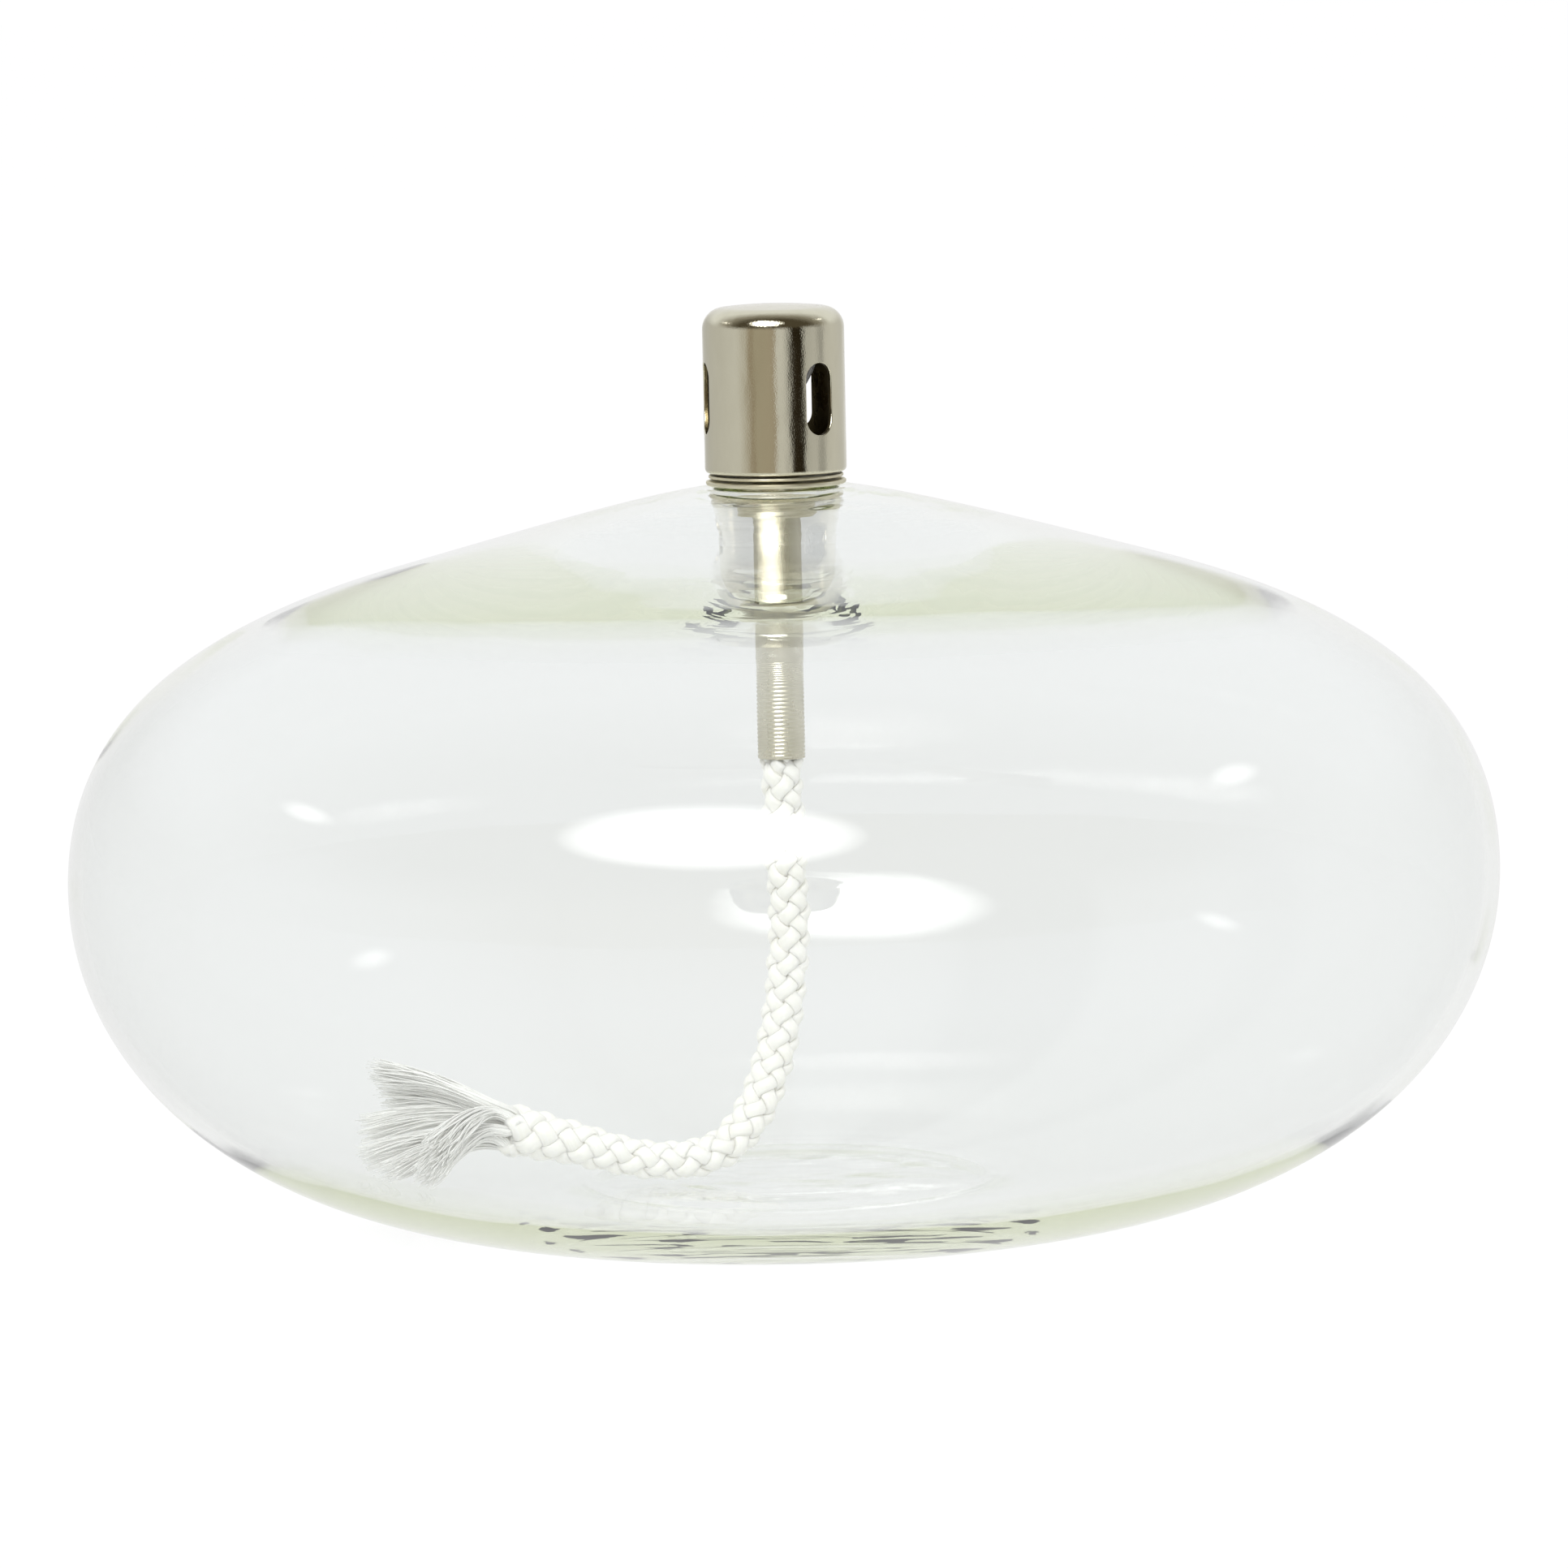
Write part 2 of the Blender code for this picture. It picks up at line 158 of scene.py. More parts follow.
# ---------------------------------------------------------------- materials

def node_material(name):
    material = bpy.data.materials.new(name)
    material.use_nodes = True
    tree = material.node_tree
    return material, tree, tree.nodes["Principled BSDF"]


def add(tree, kind, **values):
    """A node with its properties and its sockets' values set by name."""
    node = tree.nodes.new(kind)
    for key, value in values.items():
        if key in node.inputs:
            node.inputs[key].default_value = value
        else:
            setattr(node, key, value)
    return node


def scaled(tree, source, scale):
    """source coordinates multiplied by scale, as a vector socket."""
    node = add(tree, "ShaderNodeMapping")
    node.inputs["Scale"].default_value = scale
    tree.links.new(source, node.inputs["Vector"])
    return node.outputs["Vector"]


def ranged(tree, factor, low, high, from_low, from_high):
    node = add(tree, "ShaderNodeMapRange")
    node.inputs["From Min"].default_value = from_low
    node.inputs["From Max"].default_value = from_high
    node.inputs["To Min"].default_value = low
    node.inputs["To Max"].default_value = high
    tree.links.new(factor, node.inputs["Value"])
    return node.outputs["Result"]


def blend_colors(tree, factor, first, second):
    """first where factor is 0 and second where it is 1; each is a socket or a colour."""
    node = tree.nodes.new("ShaderNodeMix")
    node.data_type = "RGBA"
    tree.links.new(factor, node.inputs["Factor"])
    for socket, value in (("A", first), ("B", second)):
        if isinstance(value, tuple):
            node.inputs[socket].default_value = (*value, 1.0)
        else:
            tree.links.new(value, node.inputs[socket])
    return node.outputs["Result"]


def bumped(tree, height, strength, distance, normal=None):
    node = add(tree, "ShaderNodeBump", Strength=strength, Distance=distance)
    tree.links.new(height, node.inputs["Height"])
    if normal is not None:
        tree.links.new(normal, node.inputs["Normal"])
    return node.outputs["Normal"]


def noise(tree, source, scale, detail, roughness):
    """Noise in the source coordinates multiplied by scale."""
    node = add(tree, "ShaderNodeTexNoise", Scale=1.0, Detail=detail, Roughness=roughness)
    tree.links.new(scaled(tree, source, scale), node.inputs["Vector"])
    return node.outputs["Fac"]


def product(tree, first, second):
    node = add(tree, "ShaderNodeMath", operation="MULTIPLY")
    tree.links.new(first, node.inputs[0])
    tree.links.new(second, node.inputs[1])
    return node.outputs[0]


def tooled_glass(tree, place):
    """Faint waves all over, and the close ripples that drawing the neck leaves round it inside."""
    waves = noise(tree, place, (38.0, 38.0, 95.0), 1.0, 0.4)
    normal = bumped(tree, waves, 0.12, 0.0006)
    split = add(tree, "ShaderNodeSeparateXYZ")
    tree.links.new(place, split.inputs[0])
    off_axis = add(tree, "ShaderNodeVectorMath", operation="LENGTH")
    tree.links.new(scaled(tree, place, (1.0, 1.0, 0.0)), off_axis.inputs[0])
    near_neck = ranged(tree, off_axis.outputs["Value"], 1.0, 0.0, 0.0150, 0.027)
    below_lip = ranged(tree, split.outputs["Z"], 1.0, 0.0, 0.0888, 0.0900)
    ripples = noise(tree, place, (60.0, 60.0, 480.0), 2.0, 0.5)
    ripples = product(tree, product(tree, near_neck, below_lip), ripples)
    return bumped(tree, ripples, 0.42, 0.0008, normal)


def make_glass():
    """Clear blown glass: faintly green where the light's way through it is long."""
    material, tree, shader = node_material("blown_glass")
    shader.inputs["Base Color"].default_value = (0.926, 0.936, 0.935, 1.0)
    shader.inputs["Roughness"].default_value = 0.0
    shader.inputs["IOR"].default_value = 1.5
    shader.inputs["Transmission Weight"].default_value = 1.0
    place = add(tree, "ShaderNodeTexCoord").outputs["Object"]
    tree.links.new(tooled_glass(tree, place), shader.inputs["Normal"])
    absorb = add(tree, "ShaderNodeVolumeAbsorption", Density=4.5)
    absorb.inputs["Color"].default_value = (0.50, 0.58, 0.10, 1.0)
    output = tree.nodes["Material Output"]
    tree.links.new(absorb.outputs[0], output.inputs["Volume"])
    path = add(tree, "ShaderNodeLightPath")
    clear = add(tree, "ShaderNodeBsdfTransparent")
    clear.inputs["Color"].default_value = (0.98, 0.985, 0.98, 1.0)
    surface = shader.outputs[0]
    for kind in ("Is Shadow Ray", "Is Diffuse Ray"):
        mix = add(tree, "ShaderNodeMixShader")
        tree.links.new(path.outputs[kind], mix.inputs[0])
        tree.links.new(surface, mix.inputs[1])
        tree.links.new(clear.outputs[0], mix.inputs[2])
        surface = mix.outputs[0]
    tree.links.new(surface, output.inputs["Surface"])
    return material


def make_nickel(name, color, shade, rough, grain):
    """Nickel plate: a sparkling grain, a slightly wavy skin and uneven polish."""
    material, tree, shader = node_material(name)
    shader.inputs["Metallic"].default_value = 1.0
    place = add(tree, "ShaderNodeTexCoord").outputs["Object"]
    cloud = noise(tree, place, (420.0, 420.0, 190.0), 3.0, 0.55)
    fine = noise(tree, place, (6500.0, 6500.0, 5200.0), 1.0, 0.5)
    waves = noise(tree, place, (330.0, 330.0, 120.0), 2.0, 0.5)
    tree.links.new(blend_colors(tree, cloud, color, shade), shader.inputs["Base Color"])
    tree.links.new(ranged(tree, cloud, rough * 0.6, rough * 1.4, 0.3, 0.7), shader.inputs["Roughness"])
    normal = bumped(tree, fine, grain, 0.00003)
    tree.links.new(bumped(tree, waves, 0.5, 0.00016, normal), shader.inputs["Normal"])
    return material


def make_fibre(name, depth, shade):
    """Silky off-white glass fibre, streaked along each yarn's UV map. depth is how far light sinks in."""
    material, tree, shader = node_material(name)
    place = add(tree, "ShaderNodeTexCoord").outputs["UV"]
    streaks = noise(tree, place, (36.0, 1.6, 1.0), 4.0, 0.65)
    hue = blend_colors(tree, streaks, shade, (0.985, 0.98, 0.96))
    tree.links.new(hue, shader.inputs["Base Color"])
    tree.links.new(ranged(tree, streaks, 0.24, 0.45, 0.3, 0.7), shader.inputs["Roughness"])
    tree.links.new(bumped(tree, streaks, 0.6, 0.0001), shader.inputs["Normal"])
    shader.inputs["Sheen Weight"].default_value = 0.25
    shader.inputs["Sheen Roughness"].default_value = 0.4
    if depth > 0:
        shader.inputs["Subsurface Weight"].default_value = 0.5
        shader.inputs["Subsurface Radius"].default_value = (1.0, 1.0, 0.9)
        shader.inputs["Subsurface Scale"].default_value = depth
    return material


GLASS = make_glass()
NICKEL = make_nickel("nickel_plate", (0.72, 0.685, 0.54), (0.64, 0.605, 0.465), 0.09, 0.40)
SATIN = make_nickel("satin_nickel", (0.80, 0.76, 0.60), (0.70, 0.66, 0.50), 0.44, 0.40)
# Painted shade: the hood's lining is nickel plate coloured dark brown to stand in for the shade inside the
# hood.
HOOD_LINING_PAINTED_SHADE = make_nickel("hood_lining_painted_shade", (0.22, 0.18, 0.09), (0.13, 0.10, 0.05), 0.36, 0.40)
STEEL = make_nickel("nickel_thread", (0.68, 0.65, 0.54), (0.58, 0.55, 0.45), 0.30, 0.30)
FIBRE = make_fibre("glass_fibre", 0.0004, (0.91, 0.89, 0.81))
LOOSE_FIBRE = make_fibre("loose_glass_fibre", 0.0, (0.985, 0.985, 0.96))


# ---------------------------------------------------------------- mesh building

def link_mesh(name, verts, faces, material, uvs=None, normals=None):
    """A smooth mesh object; uvs and normals are given per vertex."""
    mesh = bpy.data.meshes.new(name)
    mesh.from_pydata([tuple(v) for v in verts], [], faces)
    if normals is None:
        bm = bmesh.new()
        bm.from_mesh(mesh)
        bmesh.ops.recalc_face_normals(bm, faces=bm.faces)
        bm.to_mesh(mesh)
        bm.free()
    mesh.materials.append(material)
    mesh.shade_smooth()
    if uvs is not None:
        layer = mesh.uv_layers.new(name="UVMap")
        corners = np.zeros(len(mesh.loops), np.int32)
        mesh.loops.foreach_get("vertex_index", corners)
        layer.data.foreach_set("uv", np.asarray(uvs, np.float32)[corners].ravel())
    if normals is not None:
        mesh.normals_split_custom_set_from_vertices([tuple(n) for n in normals])
    mesh.update()
    obj = bpy.data.objects.new(name, mesh)
    bpy.context.scene.collection.objects.link(obj)
    return obj


def cubic(start, start_handle, end_handle, end, steps):
    """Points of a cubic Bezier curve after its start, as (radius, height)."""
    t = np.arange(1, steps + 1)[:, None] / steps
    corners = [np.array(c, float) for c in (start, start_handle, end_handle, end)]
    weights = ((1 - t) ** 3, 3 * (1 - t) ** 2 * t, 3 * (1 - t) * t ** 2, t ** 3)
    return [tuple(p) for p in sum(w * c for w, c in zip(weights, corners))]


def lathe(outline, segments, vary=None):
    """Vertices and faces of a turned body. An end on the axis becomes a single pole.

    vary(angles, row, radii, height) may give each ring its own radii.
    """
    verts = []
    rings = []
    angles = math.tau * np.arange(segments) / segments
    for row, (radius, height) in enumerate(outline):
        if radius < 1e-9:
            rings.append([len(verts)])
            verts.append((0.0, 0.0, height))
            continue
        radii = np.full(segments, radius)
        if vary is not None:
            radii = vary(angles, row, radii, height)
        rings.append(range(len(verts), len(verts) + segments))
        verts.extend(zip(radii * np.cos(angles), radii * np.sin(angles), [height] * segments))
    faces = []
    pairs = list(zip(rings, rings[1:]))
    if len(rings[0]) > 1 and len(rings[-1]) > 1:
        pairs.append((rings[-1], rings[0]))
    for first, second in pairs:
        for i in range(segments):
            j = (i + 1) % segments
            if len(first) == 1:
                faces.append((first[0], second[j], second[i]))
            elif len(second) == 1:
                faces.append((first[i], first[j], second[0]))
            else:
                faces.append((first[i], first[j], second[j], second[i]))
    return verts, faces


def polar(radius, slope):
    return radius * math.cos(slope), radius * math.sin(slope)


def rounded(outline_corners, segments_per_corner=4):
    """A closed outline from (radius, height, rounding) corners."""
    points = []
    count = len(outline_corners)
    for index, (r, z, rounding) in enumerate(outline_corners):
        corner = np.array((r, z))
        if rounding <= 0:
            points.append((r, z))
            continue
        before = np.array(outline_corners[index - 1][:2]) - corner
        after = np.array(outline_corners[(index + 1) % count][:2]) - corner
        start = corner + before / np.linalg.norm(before) * rounding
        end = corner + after / np.linalg.norm(after) * rounding
        for step in range(segments_per_corner + 1):
            t = step / segments_per_corner
            point = (1 - t) ** 2 * start + 2 * (1 - t) * t * corner + t ** 2 * end
            points.append(tuple(point))
    return points


# ---------------------------------------------------------------- wick

def smooth_path(route, step):
    """Points about one step apart along a smooth curve through the route's points."""
    route = [np.array(p, float) for p in route]
    ends = [2 * route[0] - route[1], *route, 2 * route[-1] - route[-2]]
    points = [route[0]]
    for before, start, end, after in zip(ends, ends[1:], ends[2:], ends[3:]):
        pieces = max(1, round(float(np.linalg.norm(end - start)) / step))
        for piece in range(1, pieces + 1):
            t = piece / pieces
            points.append((
                2 * start
                + (end - before) * t
                + (2 * before - 5 * start + 4 * end - after) * t ** 2
                + (3 * start - before - 3 * end + after) * t ** 3
            ) / 2)
    return np.array(points)


def lengths_along(points):
    return np.concatenate([[0.0], np.cumsum(np.linalg.norm(np.diff(points, axis=0), axis=1))])


def resampled(points, count):
    along = lengths_along(points)
    wanted = np.linspace(0.0, along[-1], count)
    return np.stack([np.interp(wanted, along, points[:, k]) for k in range(3)], axis=1), wanted


def tangents_of(points):
    t = np.gradient(points, axis=0)
    return t / np.linalg.norm(t, axis=1, keepdims=True)


def carried_frames(points, first_side):
    """Tangents and a pair of side directions carried along without twist."""
    tangents = tangents_of(points)
    side = np.array(first_side, float)
    sides = []
    for tangent in tangents:
        side = side - tangent * (side @ tangent)
        side = side / np.linalg.norm(side)
        sides.append(side)
    sides = np.array(sides)
    return tangents, sides, np.cross(tangents, sides)


class Strands:
    """Collects swept strands into one mesh, with UV u round a strand and v along it."""

    def __init__(self):
        self.verts = []
        self.faces = []
        self.uvs = []

    def sweep(self, points, across, up, widths, heights, corners, flutes=0, depth=0.0, u_start=0.0):
        """A closed tube along points. across and up are the section's axes at each point."""
        angles = math.tau * np.arange(corners) / corners
        base = len(self.verts)
        rows = len(points)
        along = lengths_along(points)
        for row in range(rows):
            swell = 1.0 + depth * np.cos(flutes * angles + along[row] * FLUTE_TWIST)
            ring = (
                points[row]
                + np.outer(np.cos(angles) * swell * widths[row], across[row])
                + np.outer(np.sin(angles) * swell * heights[row], up[row])
            )
            self.verts.extend(ring)
            self.uvs.extend((u_start + a / math.tau, along[row] * UV_PER_METRE) for a in angles)
        for row in range(rows - 1):
            low, high = base + row * corners, base + (row + 1) * corners
            for i in range(corners):
                j = (i + 1) % corners
                self.faces.append((low + i, low + j, high + j, high + i))
        self.faces.append(tuple(base + i for i in reversed(range(corners))))
        last = base + (rows - 1) * corners
        self.faces.append(tuple(last + i for i in range(corners)))

    def build(self, name, material):
        return link_mesh(name, self.verts, self.faces, material, uvs=self.uvs)


BRAID_LAY = 0.0134               # length of one turn of a yarn round the braid
LOOSE_LENGTH = 0.018
YARN_HALF_THICK = 0.185          # share of the braid's radius, as are the next three
YARN_HALF_WIDE = 0.36
YARN_WAVE = 0.150
YARN_STRAY = 0.02
YARN_TURN_STRAY = 0.06           # radians
UV_PER_METRE = 100.0
FLUTE_TWIST = 900.0              # radians per metre of yarn


def braid(strands, points, radius, seed, rows_per_mm=3.2, loosened=0.0):
    """An eight-yarn round braid along points: four yarns each way, over one and under one.

    Over its last LOOSE_LENGTH the braid swells by the share loosened.
    """
    rng = random.Random(seed)
    length = lengths_along(points)[-1]
    rows = int(length * 1000 * rows_per_mm)
    centre, along = resampled(points, rows)
    _, side, cross = carried_frames(centre, (1.0, 0.0, 0.0))
    near_end = np.clip((along - along[-1]) / LOOSE_LENGTH + 1.0, 0.0, 1.0)
    radius = radius * (1.0 + loosened * near_end ** 1.5)
    half_thick = radius * YARN_HALF_THICK
    wave = radius * YARN_WAVE
    middle = radius - half_thick - wave
    half_wide = radius * YARN_HALF_WIDE
    ends = []
    for yarn in range(YARN_COUNT):
        hand = 1.0 if yarn % 2 == 0 else -1.0
        offset = math.tau * (yarn // 2) / (YARN_COUNT // 2)
        wobble_phase = rng.uniform(0, math.tau)
        turn = offset + hand * math.tau * along / BRAID_LAY
        turn += YARN_TURN_STRAY * np.sin(along * 420.0 + wobble_phase)
        crossing = hand * np.cos(4.0 * turn)
        stray = radius * YARN_STRAY * np.sin(along * 900.0 + wobble_phase * 2)
        reach = middle + wave * crossing + stray
        outward = side * np.cos(turn)[:, None] + cross * np.sin(turn)[:, None]
        path = centre + outward * reach[:, None]
        direction = tangents_of(path)
        up = outward - direction * np.sum(outward * direction, axis=1)[:, None]
        up /= np.linalg.norm(up, axis=1, keepdims=True)
        across = np.cross(direction, up)
        widths = half_wide * (1.0 - 0.10 * crossing) * rng.uniform(0.95, 1.05)
        heights = half_thick * (1.0 + 0.14 * crossing) * rng.uniform(0.95, 1.05)
        strands.sweep(path, across, up, widths, heights, 22, flutes=8, depth=0.05, u_start=yarn * 1.37)
        ends.append((path[-1], direction[-1]))
    core = middle - half_thick * 0.05
    strands.sweep(centre[::3], side[::3], cross[::3], core[::3], core[::3], 12, u_start=20.0)
    return ends


GOLDEN_SHARE = 0.61803
OPENING_POWER = 1.3


def fibres(strands, points, first_side, count, root, tip, radius, seed, ragged, corners=5):
    """Loose fibres along points. root and tip are the bundle's half width and half height there.

    ragged is the share by which the shortest fibres fall short of the longest.
    """
    rng = random.Random(seed)
    _, side, cross = carried_frames(points, first_side)
    rows = len(points)
    share = np.linspace(0.0, 1.0, rows)
    for index in range(count):
        spin = math.tau * (index * GOLDEN_SHARE % 1.0)
        reach = math.sqrt((index + 0.5) / count)
        x, y = math.cos(spin) * reach, math.sin(spin) * reach
        cut = 1.0 - ragged * rng.random()
        phases = [rng.uniform(0, math.tau) for _ in range(4)]
        stray = rng.uniform(0.4, 1.0)
        t = share * cut
        half_w = root[0] + (tip[0] - root[0]) * t ** OPENING_POWER
        half_h = root[1] + (tip[1] - root[1]) * t ** OPENING_POWER
        sway_w = stray * tip[0] * 0.10 * np.sin(t * 7.0 + phases[0]) * t
        sway_h = stray * tip[1] * 0.22 * np.sin(t * 9.0 + phases[1]) * t
        twist = 0.5 * np.sin(t * 2.0 + phases[2] * 0.1)
        a = x * half_w + sway_w
        b = y * half_h + sway_h
        sideways = a * np.cos(twist) - b * np.sin(twist)
        upward = a * np.sin(twist) * tip[1] / tip[0] + b * np.cos(twist)
        centre = np.stack([np.interp(t, share, points[:, k]) for k in range(3)], axis=1)
        line = centre + side * sideways[:, None] + cross * upward[:, None]
        _, across, up = carried_frames(line, side[0])
        thick = radius * rng.uniform(0.8, 1.2) * (1.0 - 0.35 * share ** 6)
        strands.sweep(line, across, up, thick, thick, corners, u_start=rng.uniform(0, 40))


def tail_yarn_paths(braid_ends):
    """Each frayed yarn's middle line, from a yarn of the braid to its free end."""
    tail_end = np.array(TAIL_ROUTE[-1])
    along = tail_end - np.array(TAIL_ROUTE[-2])
    along /= np.linalg.norm(along)
    side = np.cross(along, (0.0, 0.0, 1.0))
    side /= np.linalg.norm(side)
    upward = np.cross(side, along)

    def angle_of(end):
        outward = end[0] - tail_end
        return math.degrees(math.atan2(outward @ upward, outward @ side)) % 360.0

    root_angles = (90.0, 40.0, 0.0, -40.0, -90.0, -140.0, 180.0, 140.0)
    wanted = sorted(range(YARN_COUNT), key=lambda i: root_angles[i] % 360.0)
    given = sorted(braid_ends, key=angle_of)
    shifts = []
    for shift in range(YARN_COUNT):
        miss = 0.0
        for place, index in enumerate(wanted):
            gap = angle_of(given[(place + shift) % YARN_COUNT]) - root_angles[index]
            miss += abs((gap + 180.0) % 360.0 - 180.0)
        shifts.append((miss, shift))
    shift = min(shifts)[1]
    paths = {}
    for place, index in enumerate(wanted):
        root, direction = given[(place + shift) % YARN_COUNT]
        tip = np.array(TAIL_YARN_ENDS[index])
        onward = direction * 0.2 + along * 0.8
        spread = root + onward * 0.0035
        middle = (spread + tip) / 2 + np.array((0.0, 0.0, 0.0008))
        line = smooth_path([root - direction * 0.0016, root, spread, middle, tip], 0.0008)
        paths[index] = resampled(line, 18)[0]
    return [paths[index] for index in range(YARN_COUNT)]


YARN_SPREADS = (0.40, 0.90, 1.25, 1.35, 1.25, 0.95, 0.80, 0.95)     # how far each yarn fans out
THICK_FIBRE_RADIUS = 0.000105
FINE_FIBRE_RADIUS = 0.000045


def frayed_bundle(strands, path, spread, seed):
    """An opened yarn: silky fibres that fan out to a ragged end."""
    upright = (0.0, 0.3, 1.0)
    root = (0.00058, 0.00058)
    tip = (0.0007 + 0.0010 * spread, 0.0014 + 0.0014 * spread)
    fibres(strands, path, upright, 70, root, tip, THICK_FIBRE_RADIUS, seed, ragged=0.10, corners=6)
    fibres(strands, path, upright, 60, root, tip, FINE_FIBRE_RADIUS, seed + 500, ragged=0.22)


def blend_with_feed(obj):
    """Bakes the object's placement into its mesh; it is tied to neither the burner nor the wick."""
    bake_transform(obj)


def build_tail():
    route = smooth_path(TAIL_ROUTE, 0.0005)
    strands = Strands()
    ends = braid(strands, route, WICK_RADIUS, 11, loosened=0.36)
    tail = strands.build("braided_tail", FIBRE)
    for index, yarn_path in enumerate(tail_yarn_paths(ends)):
        strands = Strands()
        frayed_bundle(strands, yarn_path, YARN_SPREADS[index], 40 + index)
        yarn = strands.build(f"frayed_yarn_{index + 1}", LOOSE_FIBRE)
        blend_with_feed(yarn)
        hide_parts(f"wick_tail_yarn_{index + 1}")
    blend_with_feed(tail)
    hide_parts("wick_tail")


build_tail()


def build_core():
    low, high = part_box("wick_core")
    points = np.array([(0.0, 0.0, low.z), (0.0, 0.0, high.z)])
    strands = Strands()
    braid(strands, points, high.x, 12, rows_per_mm=2.0)
    core = strands.build("wick_in_tube", FIBRE)
    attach(core, "wick")
    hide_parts("wick_core")


TIP_REACHES = (0.00120, 0.00150, 0.00185, 0.00280, 0.00390, 0.00490)
TIP_HEIGHTS = (-0.0010, 0.0003, 0.0023, 0.0048, 0.0073, 0.0099)
TIP_FIBRE_RADIUS = 0.00008


def build_tips():
    """The wick's upper end, opened out above the tube like a small brush."""
    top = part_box("wick_core")[1].z
    for index in range(YARN_COUNT):
        angle = math.tau * (index + 0.5) / YARN_COUNT
        outward = Vector((math.cos(angle), math.sin(angle), 0.0))
        stops = zip(TIP_REACHES, TIP_HEIGHTS)
        route = [outward * reach + Vector((0, 0, top + height)) for reach, height in stops]
        path = resampled(smooth_path(route, 0.0006), 14)[0]
        strands = Strands()
        fibres(
            strands, path, tuple(outward), 40, (0.00045, 0.00045), (0.0011, 0.0016), TIP_FIBRE_RADIUS,
            70 + index, ragged=0.10)
        yarn = strands.build(f"brush_yarn_{index + 1}", FIBRE)
        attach(yarn, "wick")
        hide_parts(f"wick_tip_yarn_{index + 1}")


build_core()
build_tips()


# ---------------------------------------------------------------- glass vessel

def eased(share):
    share = min(1.0, max(0.0, share))
    return share * share * (3 - 2 * share)


def wall_at(radius, height):
    """The glass is thick round the neck and at the base ring, and thin at the sides."""
    if height > WIDEST_Z:
        share = (SHOULDER_WALL_RADIUS - radius) / (SHOULDER_WALL_RADIUS - NECK_WALL_RADIUS)
        return SIDE_WALL + (NECK_WALL - SIDE_WALL) * eased(share)
    share = (LOWER_WALL_RADIUS - radius) / (LOWER_WALL_RADIUS - HEEL_WALL_RADIUS)
    return SIDE_WALL + (HEEL_WALL - SIDE_WALL) * eased(share)


def inner_skin(outside):
    """The outside moved inwards by the wall's thickness, in the same order."""
    points = np.array(outside)
    along = np.gradient(points, axis=0)
    along /= np.linalg.norm(along, axis=1, keepdims=True)
    inward = np.stack([-along[:, 1], along[:, 0]], axis=1)
    walls = np.array([wall_at(radius, height) for radius, height in outside])
    return [(float(r), float(z)) for r, z in points + inward * walls[:, None]]


def vessel_outside():
    """Outer outline from the edge of the base ring up to the lip."""
    points = [(BASE_RADIUS, 0.0)]
    points += cubic(
        (BASE_RADIUS, 0.0),
        (BASE_RADIUS + 0.0392, 0.0007),
        (VESSEL_RADIUS, WIDEST_Z - 0.0217),
        (VESSEL_RADIUS, WIDEST_Z), 60)
    along, down = polar(0.0256, SHOULDER_SLOPE)
    points += cubic(
        (VESSEL_RADIUS, WIDEST_Z),
        (VESSEL_RADIUS, WIDEST_Z + 0.0206),
        (SHOULDER_RADIUS + along, SHOULDER_Z - down),
        (SHOULDER_RADIUS, SHOULDER_Z), 60)
    along, down = polar(0.022, SHOULDER_SLOPE)
    points += cubic(
        (SHOULDER_RADIUS, SHOULDER_Z),
        (SHOULDER_RADIUS - along, SHOULDER_Z + down),
        (LIP_OUTER_RADIUS + 0.009, LIP_Z - 0.0015),
        (LIP_OUTER_RADIUS + 0.0003, LIP_Z - 0.00005), 40)
    return points


def vessel_inside(outside):
    """Inner outline from under the lip down the bore and round to the floor's centre."""
    skin = [point for point in inner_skin(outside) if point[0] > BORE_RADIUS + FOOT_ROUNDING]
    skin.reverse()
    ceiling = skin[0]
    heel = skin[-1]
    bore_top = LIP_Z - 0.0006
    bore_foot = ceiling[1] + FOOT_ROUNDING
    drop = bore_foot - bore_top
    points = [(BORE_RADIUS, bore_top + drop * share) for share in (0.25, 0.5, 0.75, 1.0)]
    points += cubic(
        points[-1], (BORE_RADIUS, ceiling[1] + FOOT_ROUNDING / 3),
        (BORE_RADIUS + 0.0003, ceiling[1] + 0.0001), ceiling, 8)
    points += skin[1:]
    points += cubic(
        heel, (heel[0] - 0.006, heel[1]), (PUSHED_UP_RADIUS + 0.008, PUSHED_UP_Z),
        (PUSHED_UP_RADIUS, PUSHED_UP_Z), 14)
    points += [(PUSHED_UP_RADIUS * share, PUSHED_UP_Z) for share in (0.8, 0.6, 0.4, 0.2)]
    return points + [(0.0, PUSHED_UP_Z)]


def vessel_outline():
    """The whole section: base from the axis out, outside up, lip, inside down to the axis."""
    recess = BASE_RADIUS - BASE_RING_WIDTH
    points = [(0.0, BASE_RECESS)]
    points += cubic(
        (0.0, BASE_RECESS), (recess * 0.6, BASE_RECESS), (recess * 0.9, BASE_RECESS), (recess, 0.0002), 14)
    points += cubic(
        (recess, 0.0002), (recess + 0.001, 0.0), (recess + 0.0015, 0.0), (recess + 0.002, 0.0), 4)
    points += [(BASE_RADIUS - 0.003, 0.0), (BASE_RADIUS - 0.001, 0.0)]
    outside = vessel_outside()
    points += outside
    lip_corner = (LIP_OUTER_RADIUS, LIP_Z)
    points += cubic(points[-1], lip_corner, lip_corner, (LIP_OUTER_RADIUS - 0.0003, LIP_Z), 3)
    points += cubic(
        points[-1], (LIP_BORE_RADIUS, LIP_Z), (BORE_RADIUS, LIP_Z - 0.0001),
        (BORE_RADIUS, LIP_Z - 0.0006), 8)
    return points + vessel_inside(outside)


def build_vessel():
    verts, faces = lathe(vessel_outline(), 240)
    vessel = link_mesh("blown_vessel", verts, faces, GLASS)
    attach(vessel, "vessel")
    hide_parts("glass_vessel")


build_vessel()


